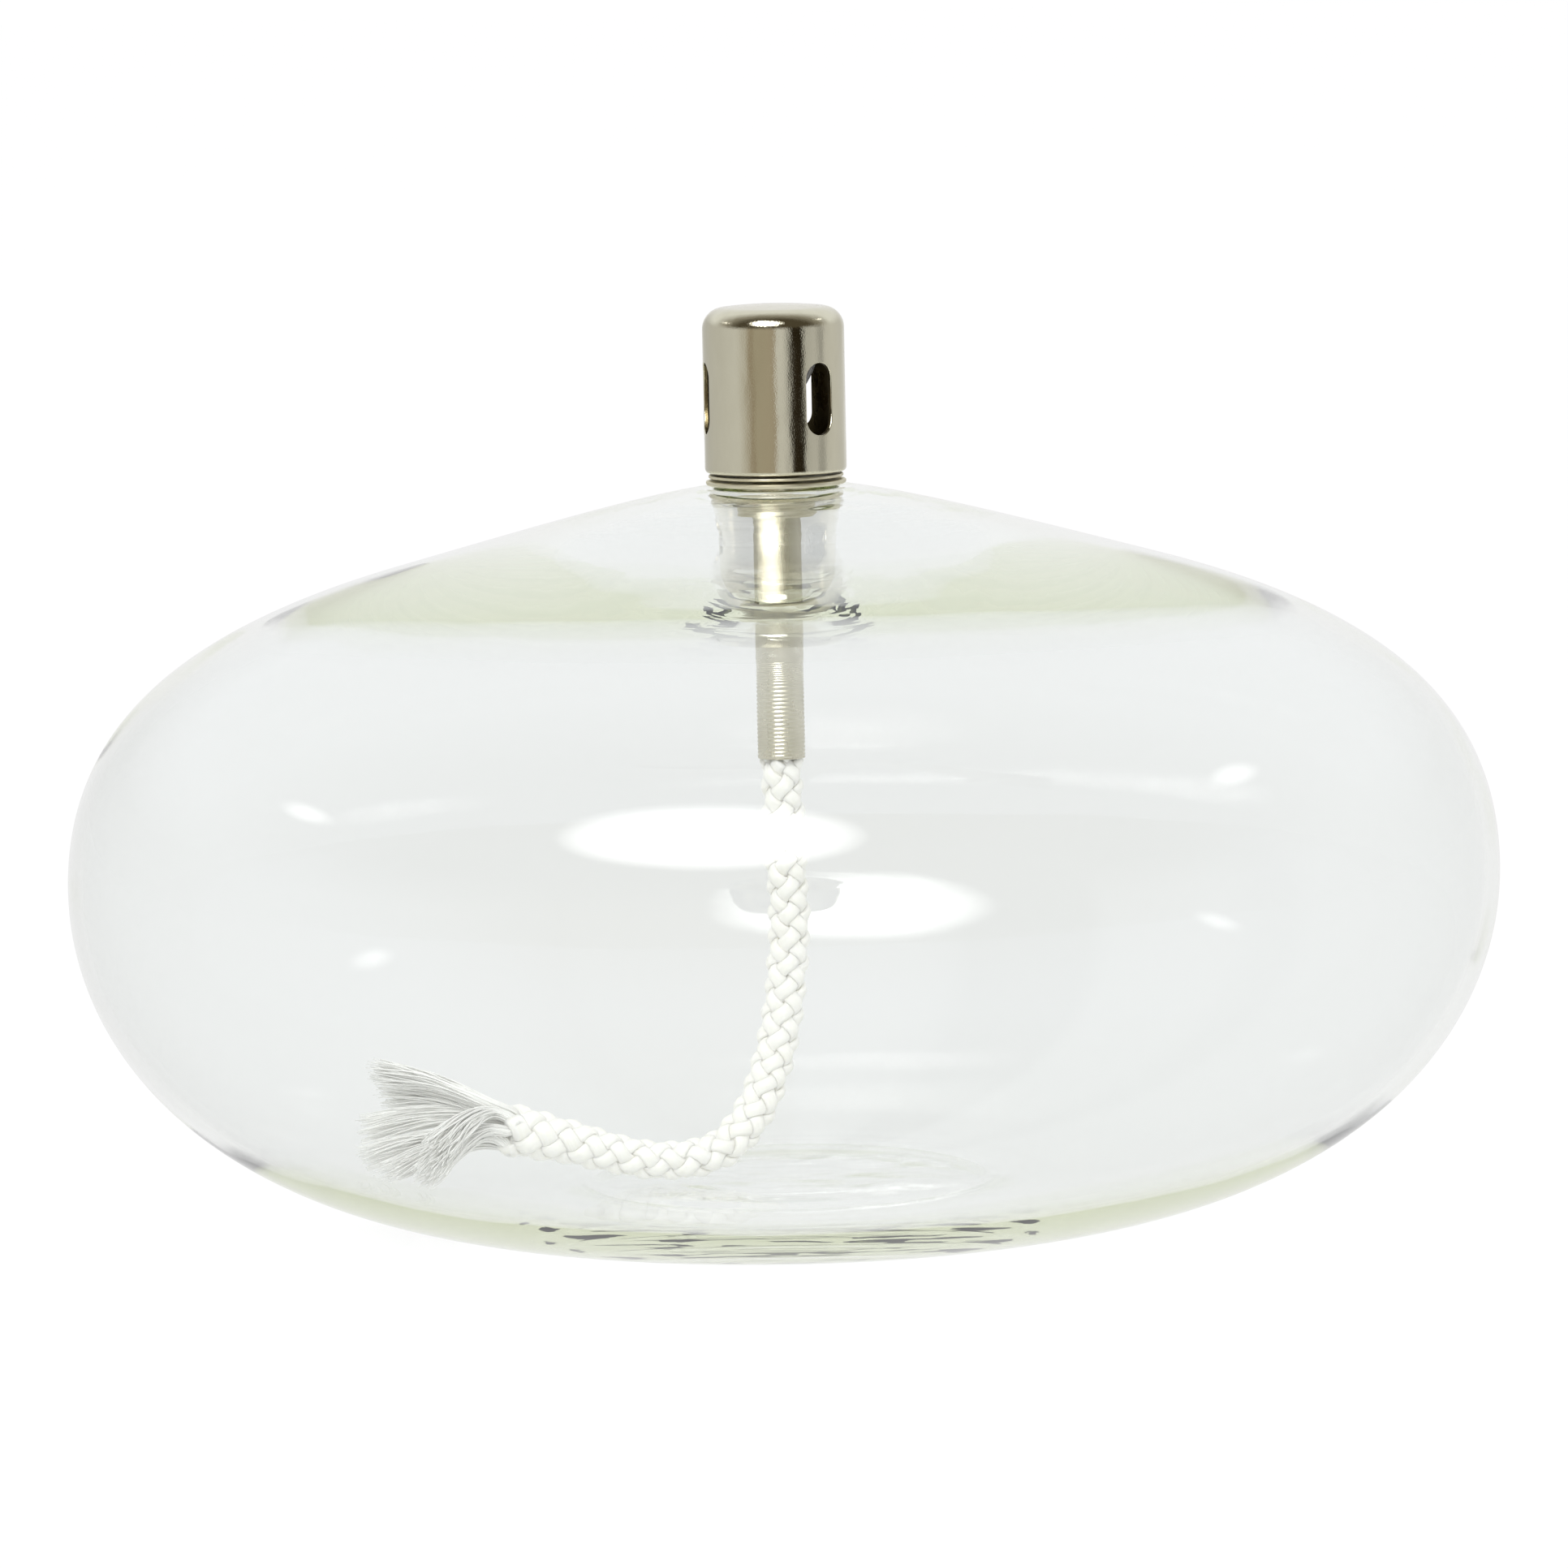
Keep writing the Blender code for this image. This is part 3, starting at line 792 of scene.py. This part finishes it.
# ---------------------------------------------------------------- burner

def turned_piece(name, outline, segments, material, body, node, vary=None):
    verts, faces = lathe(outline, segments, vary)
    piece = link_mesh(name, verts, faces, material)
    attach(piece, body)
    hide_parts(node)
    return piece


def build_rings():
    low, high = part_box("mouth_ring")
    inner = COLLAR_RADIUS + 0.0003
    turned_piece("lip_ring", rounded((
        (inner, low.z, 0.0), (high.x - 0.0002, low.z, 0.00012), (high.x, low.z + 0.0002, 0.00012),
        (high.x, high.z - 0.0001, 0.0001), (high.x - 0.0003, high.z, 0.0001), (inner, high.z, 0.0),
    )), 160, SATIN, "mouth_ring", "mouth_ring")
    low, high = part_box("burner_flange")
    inner = TUBE_RADIUS + 0.00005
    turned_piece("flange_disc", rounded((
        (inner, low.z, 0.0), (high.x - 0.0001, low.z, 0.0001), (high.x, low.z + 0.0002, 0.0001),
        (high.x - 0.0001, high.z, 0.0001), (inner, high.z, 0.0),
    )), 160, SATIN, "burner", "burner_flange")
    low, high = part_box("clamp_collar")
    turned_piece("round_collar", rounded((
        (inner, low.z, 0.0002), (high.x - 0.0004, low.z, 0.0003), (high.x, low.z + 0.0006, 0.0003),
        (high.x, high.z, 0.0001), (inner, high.z, 0.0),
    )), 128, NICKEL, "burner", "clamp_collar")


THREAD_PITCH = 0.0005
THREAD_DEPTH = 0.00011
THREAD_TOP_Z = 0.0738
STEPS_PER_TURN = 8


def build_tube():
    """The tube: a fine thread below, plain above, its foot and mouth eased."""
    low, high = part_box("wick_tube")
    outline = [(TUBE_BORE_RADIUS, low.z + 0.0001), (TUBE_BORE_RADIUS + 0.00012, low.z)]
    first = len(outline)
    run = THREAD_TOP_Z - low.z
    steps = int(run / THREAD_PITCH * STEPS_PER_TURN)
    outline += [(TUBE_RADIUS, low.z + 0.0001 + run * s / steps) for s in range(steps + 1)]
    last = len(outline)
    outline += [(TUBE_RADIUS, THREAD_TOP_Z + 0.002), (TUBE_RADIUS, high.z - 0.0002)]
    outline += [(TUBE_RADIUS - 0.00015, high.z), (TUBE_BORE_RADIUS, high.z)]

    def thread(angles, row, radii, height):
        if not first <= row < last:
            return radii
        turn = height / THREAD_PITCH * math.tau - angles
        foot = np.clip((height - low.z) / 0.0006, 0.0, 1.0)
        run_out = np.clip((THREAD_TOP_Z - height) / 0.0012, 0.0, 1.0)
        groove = (0.5 - 0.5 * np.cos(turn)) ** 1.5
        return radii - THREAD_DEPTH * groove * foot * run_out

    turned_piece("threaded_tube", outline, 96, STEEL, "burner", "wick_tube", thread)


def build_nut():
    """A thin hexagonal nut with its corners turned down."""
    low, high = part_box("lock_nut")
    flat = NUT_ACROSS_FLATS / 2
    chamfers = {1: flat * 0.99, 2: flat * 1.09, 5: flat * 1.09, 6: flat * 0.99}
    outline = [
        (TUBE_RADIUS + 0.00006, low.z), (flat, low.z), (flat * 1.2, low.z + 0.0003),
        (flat * 1.2, low.z + 0.0008), (flat * 1.2, high.z - 0.0008), (flat * 1.2, high.z - 0.0003),
        (flat, high.z), (TUBE_RADIUS + 0.00006, high.z),
    ]

    def hexagon(angles, row, radii, height):
        if row in (0, 7):
            return radii
        off_flat = (angles + math.pi / 6) % (math.pi / 3) - math.pi / 6
        return np.minimum(flat / np.cos(off_flat), chamfers.get(row, 1.0))

    turned_piece("hex_nut", outline, 120, STEEL, "burner", "lock_nut", hexagon)


SIDE_STEPS = 22                  # mesh steps up each side of a slot's panel
SPAN_STEPS = 64                  # and across it
AROUND = SPAN_STEPS * SLOT_COUNT
HALF_SPAN = math.pi / SLOT_COUNT
PANEL_MARGIN = 0.0013
PANEL_LOW = SLOT_MIDDLE_Z - SLOT_LENGTH / 2 - PANEL_MARGIN
PANEL_HIGH = SLOT_MIDDLE_Z + SLOT_LENGTH / 2 + PANEL_MARGIN
SLOT_LEAN = math.radians(38.0)   # how far round a slot's end its side's mesh reaches
EDGE_ROUNDING = 0.00016
RIM_RISE = 0.0006
SURROUND = (0.0004, 0.0008)      # rows that keep the skin exact round a slot
PANEL_SHARES = (0.12, 0.26, 0.42, 0.6, 0.8)
CROWN_SHARES = (0.93, 0.85, 0.75, 0.62, 0.5, 0.36, 0.22, 0.1)


def panel_loop():
    """Round one slot's panel: its border as (share across, share up), and the slot's place for each."""
    border = []
    slot = []
    arc = math.pi - 2 * SLOT_LEAN
    for i in range(SIDE_STEPS):
        border.append((0.5, i / SIDE_STEPS - 0.5))
        slot.append(("side", 1.0, i / SIDE_STEPS))
    for i in range(SPAN_STEPS):
        border.append((0.5 - i / SPAN_STEPS, 0.5))
        slot.append(("end", 1.0, SLOT_LEAN + arc * i / SPAN_STEPS))
    for i in range(SIDE_STEPS):
        border.append((-0.5, 0.5 - i / SIDE_STEPS))
        slot.append(("side", -1.0, 1.0 - i / SIDE_STEPS))
    for i in range(SPAN_STEPS):
        border.append((i / SPAN_STEPS - 0.5, -0.5))
        slot.append(("end", -1.0, math.pi + SLOT_LEAN + arc * i / SPAN_STEPS))
    return border, slot


def slot_point(place, grown):
    """A point of the slot's edge, pushed out by grown: across the slot, and up from its middle."""
    radius = SLOT_WIDTH / 2 + grown
    end = SLOT_LENGTH / 2 - SLOT_WIDTH / 2
    form, hand, value = place
    if form == "end":
        return radius * math.cos(value), hand * end + radius * math.sin(value)
    arc_length = radius * SLOT_LEAN
    total = 2 * end + 2 * arc_length
    run = value * total
    if run < arc_length:
        angle = -(arc_length - run) / radius
        return hand * radius * math.cos(angle), -end + radius * math.sin(angle)
    if run > total - arc_length:
        angle = (run - (total - arc_length)) / radius
        return hand * radius * math.cos(angle), end + radius * math.sin(angle)
    return hand * radius, run - arc_length - end


class HoodSkin:
    """The hood's outside or its lining: both add to the same vertices, normals and faces."""

    def __init__(self, verts, normals, faces, lining):
        self.verts = verts
        self.normals = normals
        self.faces = faces
        self.lining = lining
        self.facing = -1.0 if lining else 1.0
        self.inset = HOOD_WALL if lining else 0.0
        self.radius = HOOD_RADIUS - self.inset

    def point(self, angle, radius, height, out=1.0, up=0.0):
        """Adds a point. out and up are its normal's parts on the outside, turned round for the lining."""
        across, along = math.cos(angle), math.sin(angle)
        self.verts.append((radius * across, radius * along, height))
        self.normals.append((out * self.facing * across, out * self.facing * along, up * self.facing))
        return len(self.verts) - 1

    def ring(self, radius, height, out=1.0, up=0.0):
        start = FIRST_SLOT_ANGLE - HALF_SPAN
        return [self.point(start + math.tau * i / AROUND, radius, height, out, up) for i in range(AROUND)]

    def bridge(self, loops, flip):
        for first, second in zip(loops, loops[1:]):
            for i in range(len(first)):
                j = (i + 1) % len(first)
                face = (first[i], first[j], second[j], second[i])
                self.faces.append(face[::-1] if flip else face)

    def skirt(self, foot_z):
        """From the tucked-in rim up to the foot of the slots' panels: its first and last ring."""
        rings = []
        for a in np.radians(np.linspace(-70.0, 0.0, 8)):
            radius = self.radius - HOOD_RIM_TUCK + HOOD_RIM_TUCK * math.cos(a)
            height = foot_z + RIM_RISE + RIM_RISE * math.sin(a)
            rings.append(self.ring(radius, height, math.cos(a), math.sin(a) * 0.6))
        rings.append(self.ring(self.radius, PANEL_LOW))
        self.bridge(rings, self.lining)
        return rings[0], rings[-1]

    def crown(self, head_z):
        """From the head of the slots' panels over the corner to the top's middle: its first ring."""
        top = head_z - self.inset
        corner = HOOD_CORNER_RADIUS - self.inset
        side_top = top - HOOD_CROWN - corner
        rows = [(self.radius, PANEL_HIGH, 1.0, 0.0), (self.radius, (PANEL_HIGH + side_top) / 2, 1.0, 0.0)]
        for a in np.radians(np.linspace(0.0, 84.0, 22)):
            out, up = math.cos(a), math.sin(a)
            rows.append((self.radius - corner + corner * out, side_top + corner * up, out, up))
        flat_radius, flat_z = rows[-1][:2]
        for share in CROWN_SHARES:
            slope = 2 * (top - flat_z) * share / flat_radius
            rows.append((flat_radius * share, top - (top - flat_z) * share ** 2, slope, 1.0))
        rings = []
        for radius, height, out, up in rows:
            size = math.hypot(out, up)
            rings.append(self.ring(radius, height, out / size, up / size))
        self.bridge(rings, self.lining)
        pole = self.point(0.0, 0.0, top, 0.0, 1.0)
        last = rings[-1]
        for i in range(AROUND):
            face = (last[i], last[(i + 1) % AROUND], pole)
            self.faces.append(face[::-1] if self.lining else face)
        return rings[0]

    def column(self, index):
        """Up the joint on the near side of a slot's panel, without its ends."""
        angle = FIRST_SLOT_ANGLE - HALF_SPAN + math.tau * index / SLOT_COUNT
        heights = [PANEL_LOW + (PANEL_HIGH - PANEL_LOW) * i / SIDE_STEPS for i in range(1, SIDE_STEPS)]
        return [self.point(angle, self.radius, height) for height in heights]

    def edge_row(self, middle, slot, turned):
        """Round a slot where its edge has turned: from 0 in the cut to a right angle on the skin."""
        rounding = EDGE_ROUNDING * (0.6 if self.lining else 1.0)
        out, away = math.sin(turned), math.cos(turned)
        radius = self.radius - self.facing * rounding * (1 - out)
        row = []
        for place in slot:
            y, z = slot_point(place, rounding * (1 - away))
            y0, z0 = slot_point(place, 0.0)
            y1, z1 = slot_point(place, 0.001)
            size = math.hypot(y0 - y1, z0 - z1)
            across = away * (y0 - y1) / size
            angle = middle + math.asin(y / self.radius)
            row.append(len(self.verts))
            self.verts.append((radius * math.cos(angle), radius * math.sin(angle), SLOT_MIDDLE_Z + z))
            self.normals.append((
                self.facing * out * math.cos(angle) - across * math.sin(angle),
                self.facing * out * math.sin(angle) + across * math.cos(angle),
                away * (z0 - z1) / size,
            ))
        return row

    def skin_row(self, middle, slot, border, grown, share):
        """Round a slot on the skin: grown out from it, then the share of the way to the panel's border."""
        row = []
        for place, (share_across, share_up) in zip(slot, border):
            y, z = slot_point(place, grown)
            angle = math.asin(y / self.radius)
            far_angle = share_across * 2 * HALF_SPAN
            far_z = (PANEL_LOW + PANEL_HIGH) / 2 - SLOT_MIDDLE_Z + share_up * (PANEL_HIGH - PANEL_LOW)
            row.append(self.point(
                middle + angle + (far_angle - angle) * share, self.radius,
                SLOT_MIDDLE_Z + z + (far_z - z) * share))
        return row

    def panel(self, index, lower, upper, columns):
        """One slot's panel: the eased edge, the skin round it and the border. Returns the edge."""
        border, slot = panel_loop()
        middle = FIRST_SLOT_ANGLE + math.tau * index / SLOT_COUNT
        rows = [self.edge_row(middle, slot, turned) for turned in np.radians(np.linspace(0.0, 90.0, 6))]
        rows += [self.skin_row(middle, slot, border, grown, 0.0) for grown in SURROUND]
        rows += [self.skin_row(middle, slot, border, SURROUND[-1], share) for share in PANEL_SHARES]
        start = SPAN_STEPS * index
        rows.append(
            [lower[(start + SPAN_STEPS) % AROUND]]
            + columns[(index + 1) % SLOT_COUNT]
            + [upper[(start + SPAN_STEPS - i) % AROUND] for i in range(SPAN_STEPS)]
            + [upper[start]]
            + columns[index][::-1]
            + [lower[start + i] for i in range(SPAN_STEPS)])
        self.bridge(rows, not self.lining)
        return rows[0]


def build_hood():
    """The drawn hood: both skins and three slots with eased edges, on exact cylinders."""
    low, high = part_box("burner_hood")
    verts, normals, faces = [], [], []
    rims = []
    edges = []
    for lining in (False, True):
        first_face = len(faces)
        skin = HoodSkin(verts, normals, faces, lining)
        rim, lower = skin.skirt(low.z)
        upper = skin.crown(high.z)
        columns = [skin.column(index) for index in range(SLOT_COUNT)]
        rims.append(rim)
        edges.append([skin.panel(index, lower, upper, columns) for index in range(SLOT_COUNT)])
    for outer_edge, inner_edge in zip(*edges):
        skin.bridge([outer_edge, inner_edge], False)
    lining_end = len(faces)
    skin.bridge(rims, True)
    hood = link_mesh("slotted_hood", verts, faces, NICKEL, normals=normals)
    # The lining's faces take the dark brown material, painted shade for the inside of the hood.
    hood.data.materials.append(HOOD_LINING_PAINTED_SHADE)
    for face in hood.data.polygons[first_face:lining_end]:
        face.material_index = 1
    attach(hood, "hood")
    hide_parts("burner_hood")


build_rings()
build_tube()
build_nut()
build_hood()


# ---------------------------------------------------------------- stage and light

FLOOR_HALF_SIZE = 6.0
FLOOR_Z = -0.00003


def build_floor():
    """A pale floor, lit through from below like a white studio table."""
    material, tree, shader = node_material("pale_floor")
    shader.inputs["Base Color"].default_value = (0.80, 0.80, 0.80, 1.0)
    shader.inputs["Roughness"].default_value = 0.9
    shader.inputs["Specular IOR Level"].default_value = 0.1
    glow = add(tree, "ShaderNodeEmission", Strength=1.03)
    mix = add(tree, "ShaderNodeMixShader")
    mix.inputs[0].default_value = 0.82
    tree.links.new(shader.outputs[0], mix.inputs[1])
    tree.links.new(glow.outputs[0], mix.inputs[2])
    tree.links.new(mix.outputs[0], tree.nodes["Material Output"].inputs["Surface"])
    corners = ((-1, -1), (1, -1), (1, 1), (-1, 1))
    verts = [(x * FLOOR_HALF_SIZE, y * FLOOR_HALF_SIZE, FLOOR_Z) for x, y in corners]
    floor = link_mesh("floor", verts, [(0, 1, 2, 3)], material, normals=[(0, 0, 1)] * 4)
    floor.visible_glossy = False


def ramped(tree, factor, stops):
    """A colour ramp from (position, grey or colour) stops."""
    node = add(tree, "ShaderNodeValToRGB")
    tree.links.new(factor, node.inputs["Fac"])
    elements = node.color_ramp.elements
    while len(elements) < len(stops):
        elements.new(0.5)
    for element, (position, value) in zip(elements, stops):
        color = value if isinstance(value, tuple) else (value, value, value)
        element.position = position
        element.color = (*color, 1.0)
    return node.outputs["Color"]


# What polished metal mirrors round the lamp, by azimuth in degrees: 0 is the front, + its right
ROOM = (
    (-180, 0.90), (-168, 0.82), (-156, 0.62), (-140, 0.60), (-62, 0.72), (-48, (0.58, 0.56, 0.52)),
    (-38, (0.40, 0.35, 0.28)), (-35, (0.34, 0.28, 0.21)), (-31, (0.45, 0.41, 0.33)),
    (-8, (0.46, 0.41, 0.33)), (0, (0.42, 0.36, 0.29)), (3, 0.70), (13, 0.72), (22, 0.54), (26, 0.34),
    (29, (0.030, 0.022, 0.012)), (48, (0.020, 0.015, 0.008)), (52, 0.54), (72, 0.62), (80, 0.42),
    (86, 0.42), (92, 0.66), (112, 0.70), (140, 0.66), (180, 0.90),
)

# What it mirrors overhead, and what is seen through the glass, both from the front to the back
CEILING = ((0.0, (0.09, 0.075, 0.05)), (0.45, (0.34, 0.32, 0.28)), (1.0, (0.93, 0.95, 0.98)))
SEEN_THROUGH = ((0.0, (0.62, 0.59, 0.46)), (0.30, (0.73, 0.72, 0.64)), (0.50, 0.93), (0.62, 0.98))


def build_world():
    """White in sight and for soft light; a room with darker parts for what mirrors and bends."""
    world = bpy.data.worlds.new("studio")
    bpy.context.scene.world = world
    world.cycles.sampling_method = "NONE"
    world.use_nodes = True
    tree = world.node_tree
    background = tree.nodes["Background"]
    place = add(tree, "ShaderNodeTexCoord")
    split = add(tree, "ShaderNodeSeparateXYZ")
    tree.links.new(place.outputs["Generated"], split.inputs[0])
    toward = add(tree, "ShaderNodeMath", operation="MULTIPLY")
    tree.links.new(split.outputs["Y"], toward.inputs[0])
    toward.inputs[1].default_value = -1.0
    around = add(tree, "ShaderNodeMath", operation="ARCTAN2")
    tree.links.new(split.outputs["X"], around.inputs[0])
    tree.links.new(toward.outputs[0], around.inputs[1])
    turn = ranged(tree, around.outputs[0], 0.0, 1.0, -math.pi, math.pi)
    sides = ramped(tree, turn, [((azimuth + 180) / 360, value) for azimuth, value in ROOM])
    back = ranged(tree, split.outputs["Y"], 0.0, 1.0, -0.35, 0.45)
    above = ramped(tree, back, CEILING)
    height = ranged(tree, split.outputs["Z"], 0.0, 1.0, 0.18, 0.42)
    mirrored = blend_colors(tree, height, sides, above)
    depth = ranged(tree, split.outputs["Y"], 0.0, 1.0, -1.0, 1.0)
    through = ramped(tree, depth, SEEN_THROUGH)
    path = add(tree, "ShaderNodeLightPath")
    color = blend_colors(tree, path.outputs["Is Glossy Ray"], (1.0, 1.0, 1.0), mirrored)
    color = blend_colors(tree, path.outputs["Is Transmission Ray"], color, through)
    color = blend_colors(tree, path.outputs["Is Diffuse Ray"], color, (1.12, 1.12, 1.12))
    color = blend_colors(tree, path.outputs["Is Camera Ray"], color, (1.05, 1.05, 1.05))
    tree.links.new(color, background.inputs["Color"])


LIGHT_DISTANCE = 1.5


def area_light(name, azimuth_deg, elevation_deg, width, height, radiance, seen="mirror"):
    """A soft box on a sphere round the lamp, fading to its edge. Azimuth 0 is the front, + its right.

    seen says what it lights: "mirror" is polished metal and glass, and "diffuse" is fibre and floor.
    """
    data = bpy.data.lights.new(name, "AREA")
    data.shape = "ELLIPSE"
    data.size = width
    data.size_y = height
    data.energy = radiance * width * height * math.pi ** 2 / 4
    data.use_nodes = True
    tree = data.node_tree
    place = add(tree, "ShaderNodeNewGeometry")
    from_middle = add(tree, "ShaderNodeVectorMath", operation="DISTANCE")
    from_middle.inputs[1].default_value = (0.5, 0.5, 0.0)
    tree.links.new(place.outputs["Parametric"], from_middle.inputs[0])
    fading = ranged(tree, from_middle.outputs["Value"], 1.0, 0.0, 0.10, 0.5)
    tree.links.new(fading, tree.nodes["Emission"].inputs["Strength"])
    light = bpy.data.objects.new(name, data)
    bpy.context.scene.collection.objects.link(light)
    azimuth = math.radians(azimuth_deg)
    elevation = math.radians(elevation_deg)
    centre = Vector((0.0, 0.0, 0.06))
    level = math.cos(elevation)
    outward = Vector((math.sin(azimuth) * level, -math.cos(azimuth) * level, math.sin(elevation)))
    light.location = centre + outward * LIGHT_DISTANCE
    light.rotation_mode = "QUATERNION"
    light.rotation_quaternion = (-outward).to_track_quat("-Z", "Y")
    light.visible_camera = False
    light.visible_diffuse = seen == "diffuse"
    light.visible_glossy = seen == "mirror"
    light.visible_transmission = seen == "mirror"


def build_lights():
    area_light("front_softbox", -14.0, 45.6, 1.20, 0.86, 13.0)
    area_light("front_fill", -16.0, 46.0, 1.25, 0.80, 7.0, seen="diffuse")
    area_light("left_softbox", -95.0, 33.0, 0.36, 0.14, 2.5)
    area_light("right_softbox", 99.0, 40.0, 0.30, 0.18, 2.5)


build_floor()
build_world()
build_lights()

scene = bpy.context.scene
scene.view_settings.view_transform = "Standard"
scene.cycles.use_denoising = True
scene.cycles.max_bounces = 64
scene.cycles.transmission_bounces = 64
scene.cycles.glossy_bounces = 64
scene.cycles.diffuse_bounces = 12
scene.cycles.transparent_max_bounces = 24
